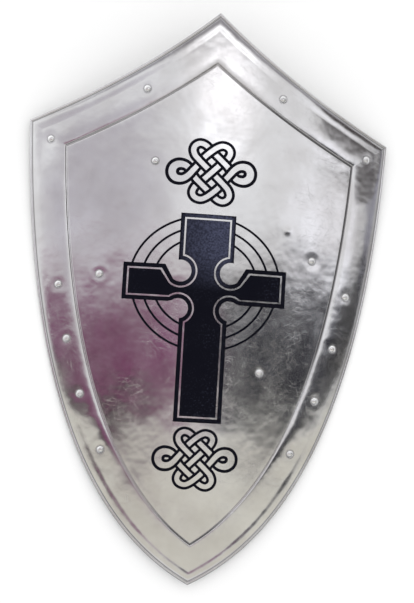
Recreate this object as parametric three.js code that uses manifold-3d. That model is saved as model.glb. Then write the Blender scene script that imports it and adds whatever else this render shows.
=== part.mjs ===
// A knight's heater shield of polished sheet steel: a rolled rim, a pressed groove around the
// border, a ringed cross and two interlace knots etched into the face, domed rivets, and two
// leather straps on the back. It lies face up, on its two upper corners and its point.
// Millimetres, +Z up, +Y towards the peak, +X to the right of someone who looks at the face.
import * as THREE from 'three';
import { mergeVertices } from 'three/addons/utils/BufferGeometryUtils.js';
import Module from 'manifold-3d';

// Sheet, as cut flat before it is bent across its width
const SHEET_LENGTH = 711;
const SHEET_WIDTH = 475;
const SHEET_THICKNESS = 1.2;
const BEND_RADIUS = 600;
const CORNER_DROP = 144;
const TOP_HOLLOW = 13;
const SIDE_REACH = 257;
const SIDE_LEAN = THREE.MathUtils.degToRad(3.1);
const POINT_REACH = 179;
const POINT_HALF_ANGLE = THREE.MathUtils.degToRad(63.3);

// Rolled rim, crowned border and pressed groove
const RIM_DIAMETER = 4.5;
const RIM_PROUD = 0.8;
const BORDER_WIDTH = 50;
const BORDER_WIDTH_AT_POINT = 42;
const BORDER_CROWN = 1.8;
const GROOVE_WIDTH = 4.5;
const GROOVE_DEPTH = 1.5;

// Etching: the black parts are sunk, and the steel lines between them keep the face's height
const ETCH_DEPTH = 0.35;
const CROSS_HEIGHT = 12;
const TOP_ARM_LENGTH = 88;
const TOP_ARM_WIDTH = 69;
const SIDE_ARM_LENGTH = 102.5;
const SIDE_ARM_WIDTH = 46;
const FOOT_LENGTH = 170.5;
const FOOT_WIDTH = 59.5;
const INLINE_INSET = 5.2;
const INLINE_WIDTH = 2.1;
const UPPER_NOTCH_RADIUS = 13.6;
const UPPER_NOTCH_ACROSS = -3.2;
const UPPER_NOTCH_ALONG = -7.3;
const UPPER_NOTCH_END = THREE.MathUtils.degToRad(310);
const UPPER_SHOULDER = 19;
const UPPER_SPREAD = 0.8;
const LOWER_NOTCH_RADIUS = 12.4;
const LOWER_NOTCH_ACROSS = 2.0;
const LOWER_NOTCH_ALONG = 8.0;
const LOWER_NOTCH_END = THREE.MathUtils.degToRad(50);
const LOWER_SHOULDER = 14;
const LOWER_SPREAD = 1.2;
const RING_COUNT = 3;
const RING_HALF_HEIGHT = 83.5;
const RING_SPACING_ALONG = 13;
const UPPER_RING_HALF_WIDTH = 94.5;
const UPPER_RING_SPACING = 14.8;
const LOWER_RING_HALF_WIDTH = 91.5;
const LOWER_RING_SPACING = 13.3;
const RING_RISE = 1.5;
const RING_LINE = 2.8;

// Interlace knots, one closed strand each
const UPPER_KNOT_HEIGHT = 152.6;
const LOWER_KNOT_HEIGHT = -202.9;
const UPPER_KNOT_SCALE = 1.02;
const LOWER_KNOT_SCALE = 0.94;
const STRAND_WIDTH = 5.8;
const STRAND_WIDENING = 3.2;
const WIDENING_START = 14;
const WIDENING_REACH = 34;
const STRAND_LINE = 3.7;
const KNOT_STEPS = 74;

// Rivets
const HEAD_DIAMETER = 9;
const HEAD_HEIGHT = 2.4;
const SHANK_DIAMETER = 4.4;
const TAIL_DIAMETER = 6.6;
const TAIL_HEIGHT = 1.2;
const GAP = 0.3;
const RIVET_INSET = 30;
const TOP_RIVET_SHARE = 0.44;
const CORNER_DROP_LEFT = 5;
const CORNER_DROP_RIGHT = 1.5;
const SIDE_RIVET_COUNT = 4;
const SIDE_RIVET_PITCH = 67;
const FIRST_RIVET_LEFT = 3;
const FIRST_RIVET_RIGHT = 9.5;

// Leather straps on the back, each held by two rivets through the field
const STRAP_SPAN = 157;
const STRAP_WIDTH = 32;
const STRAP_THICKNESS = 3;
const STRAP_TILT = THREE.MathUtils.degToRad(23);
const ARM_STRAP_ACROSS = -101.5;
const ARM_STRAP_ALONG = 90.5;
const ARM_STRAP_ARCH = 28;
const GRIP_STRAP_ACROSS = 105.3;
const GRIP_STRAP_ALONG = -20.8;
const GRIP_STRAP_ARCH = 17;

// Fineness of the curves
const TOP_STEPS = 7;
const SIDE_STEPS = 16;
const BEND_STEPS = 12;
const ROUND_STEPS = 9;
const RING_STEPS = 32;
const RIVET_SIDES = 8;
const CUTTER_REACH = 1;

const STEEL = { color: 0xc6c7ca, metalness: 1, roughness: 0.28 };
const RIVET_STEEL = { color: 0xd2d3d6, metalness: 1, roughness: 0.22 };
const LEATHER = { color: 0x3a2318, metalness: 0, roughness: 0.72 };

const wasm = await Module();
wasm.setup();

const solidOf = (geometry) => {
  const plain = geometry.index ? geometry.toNonIndexed() : geometry.clone();
  plain.deleteAttribute('normal');
  plain.deleteAttribute('uv');
  const merged = mergeVertices(plain, 1e-4);
  return new wasm.Manifold(new wasm.Mesh({
    numProp: 3,
    vertProperties: new Float32Array(merged.attributes.position.array),
    triVerts: new Uint32Array(merged.index.array),
  }));
};

const prism = (shape, low, high) => {
  const geometry = new THREE.ExtrudeGeometry(shape, {
    depth: high - low, bevelEnabled: false, curveSegments: ROUND_STEPS,
  });
  return solidOf(geometry.translate(0, 0, low));
};

const pin = (diameter, across, along, reach) => {
  const geometry = new THREE.CylinderGeometry(diameter / 2, diameter / 2, 2 * reach, RIVET_SIDES);
  return solidOf(geometry.rotateX(Math.PI / 2).translate(across, along, 0));
};

const union = (solids) => solids.reduce((sum, next) => sum.add(next));

// Bending: a point of the flat sheet moves onto a cylinder whose axis runs along the shield
const bend = (across, along, height) => {
  const angle = across / BEND_RADIUS;
  const radius = BEND_RADIUS + height;
  return new THREE.Vector3(radius * Math.sin(angle), along, radius * Math.cos(angle) - BEND_RADIUS);
};

// A flat solid is cut into narrow lengthwise strips, so that each strip can follow the bend. The
// strips' cut faces are left out, the edges along each cut get the points of both sides, and the
// whole is joined there and bent
const SAME = 1e-3;
const bentGeometry = (solid) => {
  const lines = [];
  for (let step = 0; step <= BEND_STEPS; step += 1) lines.push(SHEET_WIDTH * (step / BEND_STEPS - 0.5));
  const lineOf = (spot) => lines.findIndex((line) => Math.abs(spot.x - line) < SAME);
  const triangles = [];
  for (let step = 0; step < BEND_STEPS; step += 1) {
    const strip = solid.trimByPlane([1, 0, 0], lines[step]).trimByPlane([-1, 0, 0], -lines[step + 1]);
    const { vertProperties, triVerts } = strip.getMesh();
    const spots = [];
    for (let i = 0; i < vertProperties.length; i += 3) {
      spots.push(new THREE.Vector3().fromArray(vertProperties, i));
    }
    for (let i = 0; i < triVerts.length; i += 3) {
      const triangle = Array.from(triVerts.slice(i, i + 3), (vertex) => spots[vertex]);
      const line = lineOf(triangle[0]);
      if (line < 0 || triangle.some((spot) => lineOf(spot) !== line)) triangles.push(triangle);
    }
  }
  const seams = lines.map(() => []);
  for (const spot of new Set(triangles.flat())) if (lineOf(spot) >= 0) seams[lineOf(spot)].push(spot);
  const between = (start, end) => {
    const way = end.clone().sub(start);
    const length = way.length();
    way.divideScalar(length);
    const found = [];
    for (const spot of seams[lineOf(start)]) {
      const place = spot.clone().sub(start).dot(way);
      const aside = spot.distanceTo(start.clone().addScaledVector(way, place));
      const apart = found.every((other) => Math.abs(other.place - place) > SAME);
      if (place > SAME && place < length - SAME && aside < SAME && apart) found.push({ spot, place });
    }
    return found.sort((p, q) => p.place - q.place).map(({ spot }) => spot);
  };
  const kept = [];
  for (const triangle of triangles) {
    const first = [0, 1, 2].find((k) => {
      const line = lineOf(triangle[k]);
      return line >= 0 && line === lineOf(triangle[(k + 1) % 3]);
    });
    const [start, end, far] = [0, 1, 2].map((k) => triangle[((first ?? 0) + k) % 3]);
    const chain = first === undefined ? [start, end] : [start, ...between(start, end), end];
    for (let i = 0; i + 1 < chain.length; i += 1) kept.push(chain[i], chain[i + 1], far);
  }
  const loose = new THREE.BufferGeometry().setFromPoints(kept);
  const joined = mergeVertices(loose, SAME);
  const index = [];
  for (let i = 0; i < joined.index.count; i += 3) {
    const corners = Array.from(joined.index.array.slice(i, i + 3));
    if (new Set(corners).size === 3) index.push(...corners);
  }
  joined.setIndex(index);
  const position = joined.attributes.position;
  for (let i = 0; i < position.count; i += 1) {
    const bent = bend(position.getX(i), position.getY(i), position.getZ(i));
    position.setXYZ(i, bent.x, bent.y, bent.z);
  }
  return joined;
};

// Outline of the right half: the hollow top edge and the full side, from the peak to the point
const peak = new THREE.Vector2(0, SHEET_LENGTH / 2);
const corner = new THREE.Vector2(SHEET_WIDTH / 2, SHEET_LENGTH / 2 - CORNER_DROP);
const point = new THREE.Vector2(0, -SHEET_LENGTH / 2);
const chord = corner.clone().sub(peak).normalize();
const hollowed = peak.clone().add(corner).multiplyScalar(0.5)
  .add(new THREE.Vector2(chord.y, -chord.x).multiplyScalar(2 * TOP_HOLLOW));
const topEdge = new THREE.QuadraticBezierCurve(peak, hollowed, corner);
const sideHandle = new THREE.Vector2(-Math.sin(SIDE_LEAN), -Math.cos(SIDE_LEAN)).multiplyScalar(SIDE_REACH);
const pointHandle = new THREE.Vector2(Math.sin(POINT_HALF_ANGLE), Math.cos(POINT_HALF_ANGLE))
  .multiplyScalar(POINT_REACH);
const sideEdge = new THREE.CubicBezierCurve(
  corner, corner.clone().add(sideHandle), point.clone().add(pointHandle), point,
);

// The border narrows a little from the corner to the point
const insetAt = (inset, share) => {
  if (inset <= RIM_DIAMETER) return inset;
  const width = THREE.MathUtils.lerp(BORDER_WIDTH, BORDER_WIDTH_AT_POINT, share);
  return RIM_DIAMETER + (inset - RIM_DIAMETER) * (width - RIM_DIAMETER) / (BORDER_WIDTH - RIM_DIAMETER);
};

const offsetEdge = (edge, inset, narrows) => {
  const fine = 80;
  const result = [];
  for (let step = 0; step <= fine; step += 1) {
    const share = step / fine;
    const tangent = edge.getTangent(share);
    const depth = narrows ? insetAt(inset, share) : inset;
    result.push(edge.getPoint(share).add(new THREE.Vector2(tangent.y, -tangent.x).multiplyScalar(depth)));
  }
  return result;
};

const crossing = (a, b, c, d) => {
  const ab = b.clone().sub(a);
  const cd = d.clone().sub(c);
  const ac = c.clone().sub(a);
  const area = ab.cross(cd);
  if (area === 0) return null;
  const alongAb = ac.cross(cd) / area;
  const alongCd = ac.cross(ab) / area;
  const inside = alongAb >= 0 && alongAb < 1 && alongCd >= 0 && alongCd < 1;
  return inside ? { spot: a.clone().addScaledVector(ab, alongAb), alongAb, alongCd } : null;
};

const evenly = (line, steps) => {
  const lengths = [0];
  for (let i = 1; i < line.length; i += 1) lengths.push(lengths[i - 1] + line[i].distanceTo(line[i - 1]));
  const total = lengths[lengths.length - 1];
  const result = [];
  let at = 1;
  for (let step = 0; step <= steps; step += 1) {
    const wanted = total * step / steps;
    while (at < line.length - 1 && lengths[at] < wanted) at += 1;
    const share = (wanted - lengths[at - 1]) / (lengths[at] - lengths[at - 1]);
    result.push(line[at - 1].clone().lerp(line[at], share));
  }
  return result;
};

// The right half of the outline moved inwards, as its top part and its side part
const insetHalf = (inset) => {
  let top = offsetEdge(topEdge, inset, false);
  let side = offsetEdge(sideEdge, inset, true);
  for (let i = 0; i + 1 < top.length; i += 1) {
    for (let j = 0; j + 1 < side.length; j += 1) {
      const hit = inset > 0 && crossing(top[i], top[i + 1], side[j], side[j + 1]);
      if (hit) {
        top = [...top.slice(0, i + 1), hit.spot];
        side = [hit.spot, ...side.slice(j + 1)];
      }
    }
  }
  const toAxis = (from, to) => from.clone().lerp(to, from.x / (from.x - to.x));
  const first = top.findIndex((p) => p.x > 0);
  if (first > 0) top = [toAxis(top[first - 1], top[first]), ...top.slice(first)];
  const last = side.findIndex((p) => p.x <= 0);
  if (last > 0) side = [...side.slice(0, last), toAxis(side[last - 1], side[last])];
  return { top, side };
};

const insetLoop = (inset) => {
  const { top, side } = insetHalf(inset);
  const half = [...evenly(top, TOP_STEPS), ...evenly(side, SIDE_STEPS).slice(1)];
  const mirrored = half.slice(1, -1).reverse().map((p) => new THREE.Vector2(-p.x, p.y));
  return [...half, ...mirrored];
};

// Section of the border, from the groove outwards, over the rolled rim, and back below
const grooveOuter = BORDER_WIDTH - GROOVE_WIDTH / 2;
const grooveInner = BORDER_WIDTH + GROOVE_WIDTH / 2;
const crownAt = (inset) => {
  const share = (inset - RIM_DIAMETER) / (grooveOuter - RIM_DIAMETER);
  return BORDER_CROWN * Math.sin(Math.PI * THREE.MathUtils.clamp(share, 0, 1));
};
const crownStations = [0.75, 0.5, 0.25]
  .map((share) => THREE.MathUtils.lerp(RIM_DIAMETER, grooveOuter, share));
const rimRadius = RIM_DIAMETER / 2;
const rimCentre = SHEET_THICKNESS + RIM_PROUD - rimRadius;
const rimStart = Math.asin((SHEET_THICKNESS - rimCentre) / rimRadius);
const rimEnd = 2 * Math.PI + Math.asin(-rimCentre / rimRadius);
const rimArcs = 5;
const borderSection = [
  [grooveInner, SHEET_THICKNESS],
  [BORDER_WIDTH, SHEET_THICKNESS - GROOVE_DEPTH],
  [grooveOuter, SHEET_THICKNESS],
  ...crownStations.map((inset) => [inset, SHEET_THICKNESS + crownAt(inset)]),
];
for (let step = 0; step <= rimArcs; step += 1) {
  const angle = THREE.MathUtils.lerp(rimStart, rimEnd, step / rimArcs);
  borderSection.push([rimRadius * (1 + Math.cos(angle)), rimCentre + rimRadius * Math.sin(angle)]);
}
borderSection.push(
  ...crownStations.slice().reverse().map((inset) => [inset, crownAt(inset)]),
  [grooveOuter, 0],
  [BORDER_WIDTH, -GROOVE_DEPTH],
  [grooveInner, 0],
);

const sheetGeometry = () => {
  const loops = borderSection.map(([inset, height]) => insetLoop(inset).map((p) => [p.x, p.y, height]));
  const around = loops[0].length;
  const index = [];
  for (let band = 0; band + 1 < loops.length; band += 1) {
    for (let i = 0; i < around; i += 1) {
      const next = (i + 1) % around;
      const [a, b] = [band * around + i, band * around + next];
      const [c, d] = [a + around, b + around];
      index.push(a, b, c, b, d, c);
    }
  }
  const field = insetLoop(grooveInner);
  const lastLoop = (loops.length - 1) * around;
  for (const [a, b, c] of THREE.ShapeUtils.triangulateShape(field, [])) {
    const clockwise = field[b].clone().sub(field[a]).cross(field[c].clone().sub(field[a])) < 0;
    const [p, q] = clockwise ? [c, b] : [b, c];
    index.push(a, p, q, lastLoop + a, lastLoop + q, lastLoop + p);
  }
  const geometry = new THREE.BufferGeometry();
  geometry.setAttribute('position', new THREE.Float32BufferAttribute(loops.flat(2), 3));
  geometry.setIndex(index);
  return geometry;
};

// The cross, drawn smaller by an inset: shaft, round notches in the inner angles, arms and foot
const crossShape = (inset) => {
  const topEdge = TOP_ARM_WIDTH / 2 - inset;
  const armEdge = SIDE_ARM_WIDTH / 2 - inset;
  const footEdge = FOOT_WIDTH / 2 - inset;
  const armEnd = SIDE_ARM_LENGTH - inset;
  const half = [new THREE.Vector2(topEdge, TOP_ARM_LENGTH - inset)];
  const notchArc = (centre, radius, from, to) => {
    for (let step = 0; step <= ROUND_STEPS; step += 1) {
      const angle = THREE.MathUtils.lerp(from, to, step / ROUND_STEPS);
      half.push(new THREE.Vector2(
        centre.x + radius * Math.cos(angle), centre.y + radius * Math.sin(angle),
      ));
    }
  };
  const upper = new THREE.Vector2(
    TOP_ARM_WIDTH / 2 + UPPER_NOTCH_ACROSS, SIDE_ARM_WIDTH / 2 + UPPER_NOTCH_ALONG,
  );
  const lower = new THREE.Vector2(
    FOOT_WIDTH / 2 + LOWER_NOTCH_ACROSS, -SIDE_ARM_WIDTH / 2 - LOWER_NOTCH_ALONG,
  );
  const upperRadius = UPPER_NOTCH_RADIUS + inset;
  const lowerRadius = LOWER_NOTCH_RADIUS + inset;
  const upperStart = Math.acos((topEdge - upper.x) / upperRadius);
  const lowerStop = 2 * Math.PI - Math.acos((footEdge - lower.x) / lowerRadius);
  notchArc(upper, upperRadius, upperStart, UPPER_NOTCH_END);
  half.push(new THREE.Vector2(upper.x + UPPER_SHOULDER + UPPER_SPREAD * inset, armEdge));
  half.push(new THREE.Vector2(armEnd, armEdge));
  half.push(new THREE.Vector2(armEnd, -armEdge));
  half.push(new THREE.Vector2(lower.x + LOWER_SHOULDER + LOWER_SPREAD * inset, -armEdge));
  notchArc(lower, lowerRadius, LOWER_NOTCH_END, lowerStop);
  half.push(new THREE.Vector2(footEdge, -FOOT_LENGTH + inset));
  const mirrored = half.slice().reverse().map((p) => new THREE.Vector2(-p.x, p.y));
  return new THREE.Shape([...half, ...mirrored]);
};

const etchFloor = SHEET_THICKNESS - ETCH_DEPTH;
const above = SHEET_THICKNESS + CUTTER_REACH;
const cutter = (shape, times) => {
  const beyond = times * CUTTER_REACH;
  return prism(shape, etchFloor - beyond, above + beyond);
};

// A ring is an oval whose lower half is a little narrower; the width changes below the side arms
const ringPath = (path, ring, outwards) => {
  const upper = UPPER_RING_HALF_WIDTH - ring * UPPER_RING_SPACING + outwards;
  const lower = LOWER_RING_HALF_WIDTH - ring * LOWER_RING_SPACING + outwards;
  const along = RING_HALF_HEIGHT - ring * RING_SPACING_ALONG + outwards;
  const spots = [];
  for (let step = 0; step < 2 * RING_STEPS; step += 1) {
    const angle = Math.PI * step / RING_STEPS;
    const rise = along * Math.sin(angle);
    const share = THREE.MathUtils.smoothstep(rise, -SIDE_ARM_WIDTH / 3, SIDE_ARM_WIDTH / 3);
    const across = THREE.MathUtils.lerp(lower, upper, share) * Math.cos(angle);
    spots.push(new THREE.Vector2(across, RING_RISE + rise));
  }
  return path.setFromPoints(spots);
};

const crossEtching = () => {
  const body = prism(crossShape(0), etchFloor, above);
  const inline = cutter(crossShape(INLINE_INSET), 1)
    .subtract(cutter(crossShape(INLINE_INSET + INLINE_WIDTH), 2));
  const rings = [];
  for (let ring = 0; ring < RING_COUNT; ring += 1) {
    const shape = ringPath(new THREE.Shape(), ring, RING_LINE / 2);
    shape.holes.push(ringPath(new THREE.Path(), ring, -RING_LINE / 2));
    rings.push(prism(shape, etchFloor, above));
  }
  const clear = cutter(crossShape(0), 1);
  return union(rings).subtract(clear).add(body.subtract(inline)).translate([0, CROSS_HEIGHT, 0]);
};

// Half of the knot's strand, from its middle crossing out and back; the other half is the same
// turned by half a turn about that crossing
const KNOT_HALF = [
  [-8.5, -8.5], [-19.5, -19], [-22, -26], [-20, -30.5], [-16, -33], [-11, -33.5], [-6, -31.5],
  [-1, -28], [8.5, -19.5], [13.5, -13.5], [18.5, -6.5], [23, -1], [27.5, 4.5], [32.5, 8.5], [38, 10],
  [44.5, 8.5], [48, 3], [47, -3.5], [42, -7.5], [36.5, -8], [30.5, -6], [25, 0.5], [20, 7.5],
  [12.5, 14.5], [4.5, 21.5], [-1.5, 26.5], [-7, 32], [-11.5, 34.5], [-16.5, 35], [-21.5, 32],
  [-23.5, 27], [-21.5, 20.5], [-16, 14.5], [-9, 8],
];

// The strand widens towards the knot's two side loops. It passes over and under itself by turns;
// where it passes under, its steel stops at the black line beside the strand above it
const strandHalf = (spot) => {
  const out = THREE.MathUtils.clamp((Math.abs(spot.x) - WIDENING_START) / WIDENING_REACH, 0, 1);
  return (STRAND_WIDTH + STRAND_WIDENING * out ** 1.5) / 2;
};

const knotEtching = (scale) => {
  const middleFirst = [[0, 0], ...KNOT_HALF];
  const turned = middleFirst.map(([x, y]) => [-x, -y]).reverse().slice(0, -1);
  const control = [...middleFirst, [0, 0], ...turned].map(([x, y]) => new THREE.Vector3(x, y, 0));
  const loopStart = 4;
  const closed = [...control.slice(loopStart), ...control.slice(0, loopStart)];
  const curve = new THREE.CatmullRomCurve3(closed, true, 'centripetal');
  const path = curve.getSpacedPoints(KNOT_STEPS).slice(0, -1).map((p) => new THREE.Vector2(p.x, p.y));
  const at = (i) => path[((i % path.length) + path.length) % path.length];
  const ribbon = (from, to, beside) => {
    const left = [];
    const right = [];
    for (let i = Math.ceil(from); i <= Math.floor(to); i += 1) {
      const way = at(i + 1).clone().sub(at(i - 1)).normalize().multiplyScalar(strandHalf(at(i)) + beside);
      left.push(new THREE.Vector2(at(i).x - way.y, at(i).y + way.x).multiplyScalar(scale));
      right.push(new THREE.Vector2(at(i).x + way.y, at(i).y - way.x).multiplyScalar(scale));
    }
    return new THREE.Shape([...left, ...right.reverse()]);
  };
  const passes = [];
  for (let i = 0; i < path.length; i += 1) {
    for (let j = i + 2; j < path.length; j += 1) {
      const hit = i + path.length - j > 1 && crossing(at(i), at(i + 1), at(j), at(j + 1));
      if (hit) {
        passes.push({ place: i + hit.alongAb, other: j + hit.alongCd, spot: hit.spot });
        passes.push({ place: j + hit.alongCd, other: i + hit.alongAb, spot: hit.spot });
      }
    }
  }
  passes.sort((a, b) => a.place - b.place);
  const unders = passes.filter((pass, i) => i % 2 === 1);
  const widest = STRAND_WIDTH + STRAND_WIDENING + 2 * STRAND_LINE;
  const reach = Math.ceil(widest * path.length / curve.getLength());
  const black = [];
  const steel = [];
  unders.forEach((pass, i) => {
    const next = unders[(i + 1) % unders.length];
    const end = next.place > pass.place ? next.place : next.place + path.length;
    const middle = Math.round((pass.place + end) / 2);
    for (const [from, to, crossed] of [[pass.place, middle, pass], [middle, end, next]]) {
      const over = cutter(ribbon(crossed.other - reach, crossed.other + reach, STRAND_LINE), 2);
      black.push(prism(ribbon(from - 1, to + 1, STRAND_LINE), etchFloor, above));
      steel.push(cutter(ribbon(from - 1, to + 1, 0), 1).subtract(over));
    }
  });
  return union(black).subtract(union(steel));
};

// Rivet places on the flat sheet
const rivetLine = insetHalf(RIVET_INSET);
const onTopLine = evenly(rivetLine.top, 100)[Math.round(100 * TOP_RIVET_SHARE)];
const onCorner = rivetLine.side[0];
const onSideLine = (along) => {
  const below = rivetLine.side.findIndex((p) => p.y < along);
  const [a, b] = [rivetLine.side[below - 1], rivetLine.side[below]];
  return a.clone().lerp(b, (a.y - along) / (a.y - b.y));
};
const borderRivets = [];
for (const [name, sign, first, drop] of [
  ['left', -1, FIRST_RIVET_LEFT, CORNER_DROP_LEFT],
  ['right', 1, FIRST_RIVET_RIGHT, CORNER_DROP_RIGHT],
]) {
  borderRivets.push({ name: `rivet_top_${name}`, across: sign * onTopLine.x, along: onTopLine.y });
  borderRivets.push({ name: `rivet_corner_${name}`, across: sign * onCorner.x, along: onCorner.y - drop });
  for (let i = 0; i < SIDE_RIVET_COUNT; i += 1) {
    const spot = onSideLine(first - i * SIDE_RIVET_PITCH);
    borderRivets.push({ name: `rivet_side_${name}_${i + 1}`, across: sign * spot.x, along: spot.y });
  }
}
const straps = [
  { name: 'arm', across: ARM_STRAP_ACROSS, along: ARM_STRAP_ALONG, arch: ARM_STRAP_ARCH },
  { name: 'grip', across: GRIP_STRAP_ACROSS, along: GRIP_STRAP_ALONG, arch: GRIP_STRAP_ARCH },
];
const strapRivets = [];
for (const { name, across, along } of straps) {
  for (const [end, sign] of [['upper', 1], ['lower', -1]]) {
    const reach = sign * STRAP_SPAN / 2;
    strapRivets.push({
      name: `rivet_${name}_${end}`,
      across: across + reach * Math.sin(STRAP_TILT),
      along: along + reach * Math.cos(STRAP_TILT),
    });
  }
}

const HOLE_DIAMETER = SHANK_DIAMETER + 2 * GAP;
const plateSolid = () => {
  const holes = [...borderRivets, ...strapRivets]
    .map(({ across, along }) => pin(HOLE_DIAMETER, across, along, 2 * HEAD_DIAMETER));
  const etching = crossEtching()
    .add(knotEtching(UPPER_KNOT_SCALE).translate([0, UPPER_KNOT_HEIGHT, 0]))
    .add(knotEtching(LOWER_KNOT_SCALE).translate([0, LOWER_KNOT_HEIGHT, 0]));
  return solidOf(sheetGeometry()).subtract(etching).subtract(union(holes));
};

// A rivet stands on the origin: its head above, its shank and peened tail below
const rivetGeometry = (grip) => {
  const profile = [new THREE.Vector2(0, -grip - TAIL_HEIGHT)];
  profile.push(new THREE.Vector2(0.7 * TAIL_DIAMETER / 2, -grip - TAIL_HEIGHT));
  profile.push(new THREE.Vector2(TAIL_DIAMETER / 2, -grip));
  profile.push(new THREE.Vector2(SHANK_DIAMETER / 2, -grip));
  profile.push(new THREE.Vector2(SHANK_DIAMETER / 2, 0));
  const domeSteps = 3;
  for (let step = 0; step < domeSteps; step += 1) {
    const angle = Math.PI / 2 * step / domeSteps;
    profile.push(new THREE.Vector2(HEAD_DIAMETER / 2 * Math.cos(angle), HEAD_HEIGHT * Math.sin(angle)));
  }
  profile.push(new THREE.Vector2(0, HEAD_HEIGHT));
  return new THREE.LatheGeometry(profile, RIVET_SIDES).rotateX(Math.PI / 2);
};

// A strap lies flat against the sheet at its two ends and arches away from it between them
const strapSolid = ({ across, along, arch }) => {
  const tab = STRAP_WIDTH / 2;
  const archHalf = STRAP_SPAN / 2 - tab;
  const steps = 6;
  const face = [];
  for (let step = 0; step <= steps; step += 1) {
    const place = THREE.MathUtils.lerp(-archHalf, archHalf, step / steps);
    face.push(new THREE.Vector2(place, -GAP - arch * (1 + Math.cos(Math.PI * place / archHalf)) / 2));
  }
  face.unshift(new THREE.Vector2(-STRAP_SPAN / 2 - tab, -GAP));
  face.push(new THREE.Vector2(STRAP_SPAN / 2 + tab, -GAP));
  const back = face.slice().reverse().map((p) => new THREE.Vector2(p.x, p.y - STRAP_THICKNESS));
  const band = new THREE.ExtrudeGeometry(new THREE.Shape([...face, ...back]), {
    depth: STRAP_WIDTH, bevelEnabled: false,
  });
  band.rotateX(Math.PI / 2).translate(0, STRAP_WIDTH / 2, 0);
  const plan = new THREE.Shape();
  plan.absarc(STRAP_SPAN / 2, 0, tab, -Math.PI / 2, Math.PI / 2);
  plan.absarc(-STRAP_SPAN / 2, 0, tab, Math.PI / 2, 3 * Math.PI / 2);
  const deep = arch + STRAP_THICKNESS + HEAD_DIAMETER;
  return solidOf(band)
    .intersect(prism(plan, -deep, deep))
    .subtract(pin(HOLE_DIAMETER, STRAP_SPAN / 2, 0, deep))
    .subtract(pin(HOLE_DIAMETER, -STRAP_SPAN / 2, 0, deep))
    .rotate([0, 0, 90 - THREE.MathUtils.radToDeg(STRAP_TILT)])
    .translate([across, along, 0]);
};

const named = (name, geometry, finish) => {
  geometry.computeVertexNormals();
  const mesh = new THREE.Mesh(geometry, new THREE.MeshStandardMaterial(finish));
  mesh.name = name;
  return mesh;
};

const shield = new THREE.Group();
shield.add(named('shield_plate', bentGeometry(plateSolid()), STEEL));
for (const strap of straps) {
  shield.add(named(`strap_${strap.name}`, bentGeometry(strapSolid(strap)), LEATHER));
}

const addRivet = ({ name, across, along }, seat, grip) => {
  const rivet = named(name, rivetGeometry(grip), RIVET_STEEL);
  rivet.position.copy(bend(across, along, seat));
  rivet.rotation.y = across / BEND_RADIUS;
  shield.add(rivet);
};
const borderSeat = SHEET_THICKNESS + BORDER_CROWN + GAP;
const tailSpots = [RIVET_INSET - TAIL_DIAMETER / 2, RIVET_INSET + TAIL_DIAMETER / 2];
const borderBack = Math.min(...tailSpots.map(crownAt));
for (const spot of borderRivets) addRivet(spot, borderSeat, borderSeat - borderBack + GAP);
for (const spot of strapRivets) {
  addRivet(spot, SHEET_THICKNESS + GAP, SHEET_THICKNESS + STRAP_THICKNESS + 3 * GAP);
}

// Lying face up, the sheet leans until its point touches the floor as its upper corners do
const underRim = rimCentre - rimRadius;
const cornerRest = bend(corner.x, corner.y, underRim);
const pointRest = bend(point.x, point.y, underRim);
shield.rotation.x = Math.atan2(pointRest.z - cornerRest.z, cornerRest.y - pointRest.y);

// The origin is on the floor, below the middle of the shield
const laidDown = new THREE.Group();
laidDown.add(shield);
laidDown.updateMatrixWorld(true);
const bounds = new THREE.Box3().setFromObject(laidDown, true);
const middle = bounds.getCenter(new THREE.Vector3());
laidDown.position.set(-middle.x, -middle.y, -bounds.min.z);

export default laidDown;
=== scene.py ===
from math import acos, asin, atan2, ceil, cos, pi, radians, sin, sqrt

import bpy
import numpy as np
from mathutils import Matrix, Vector
from mathutils.geometry import delaunay_2d_cdt


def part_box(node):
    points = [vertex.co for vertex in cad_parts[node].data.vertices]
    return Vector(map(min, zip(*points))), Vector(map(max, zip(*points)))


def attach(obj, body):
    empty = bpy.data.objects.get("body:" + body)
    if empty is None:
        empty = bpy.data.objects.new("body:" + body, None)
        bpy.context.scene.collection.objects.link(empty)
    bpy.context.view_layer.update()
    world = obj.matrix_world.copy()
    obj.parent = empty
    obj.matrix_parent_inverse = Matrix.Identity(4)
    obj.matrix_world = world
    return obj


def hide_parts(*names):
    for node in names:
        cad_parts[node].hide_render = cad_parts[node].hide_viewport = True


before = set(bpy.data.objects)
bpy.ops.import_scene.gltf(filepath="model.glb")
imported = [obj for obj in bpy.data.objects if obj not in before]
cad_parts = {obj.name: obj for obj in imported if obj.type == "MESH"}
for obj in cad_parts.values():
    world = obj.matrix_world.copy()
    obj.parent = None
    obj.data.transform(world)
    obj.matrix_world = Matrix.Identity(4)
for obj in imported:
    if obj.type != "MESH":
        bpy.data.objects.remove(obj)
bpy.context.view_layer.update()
bpy.context.scene.view_settings.view_transform = "Standard"

# Steel plate: one sheet of 1.2 mm steel, cut to the shield's outline and bent gently across its
# width. Its edge is rolled over a wire, a groove is pressed around the border, and the cross,
# rings and knots are etched into the polished face and filled with black.
SHEET_LENGTH = 0.711
SHEET_WIDTH = 0.475
THICKNESS = 0.0012
BEND_RADIUS = 0.600
CORNER_DROP = 0.144
TOP_HOLLOW = 0.013
SIDE_REACH = 0.257
SIDE_LEAN = radians(3.1)
POINT_REACH = 0.179
POINT_HALF_ANGLE = radians(63.3)
RIM_DIAMETER = 0.0045
RIM_PROUD = 0.0008
BORDER_WIDTH = 0.050
BORDER_WIDTH_AT_POINT = 0.042
BORDER_CROWN = 0.0018
GROOVE_HALF_WIDTH = 0.00225
GROOVE_DEPTH = 0.0015
SHOULDER_HEIGHT = 0.0004
SHOULDER_REACH = 0.0028
TRIM = 0.00007  # how far this finer mesh stays inside the solid


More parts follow.
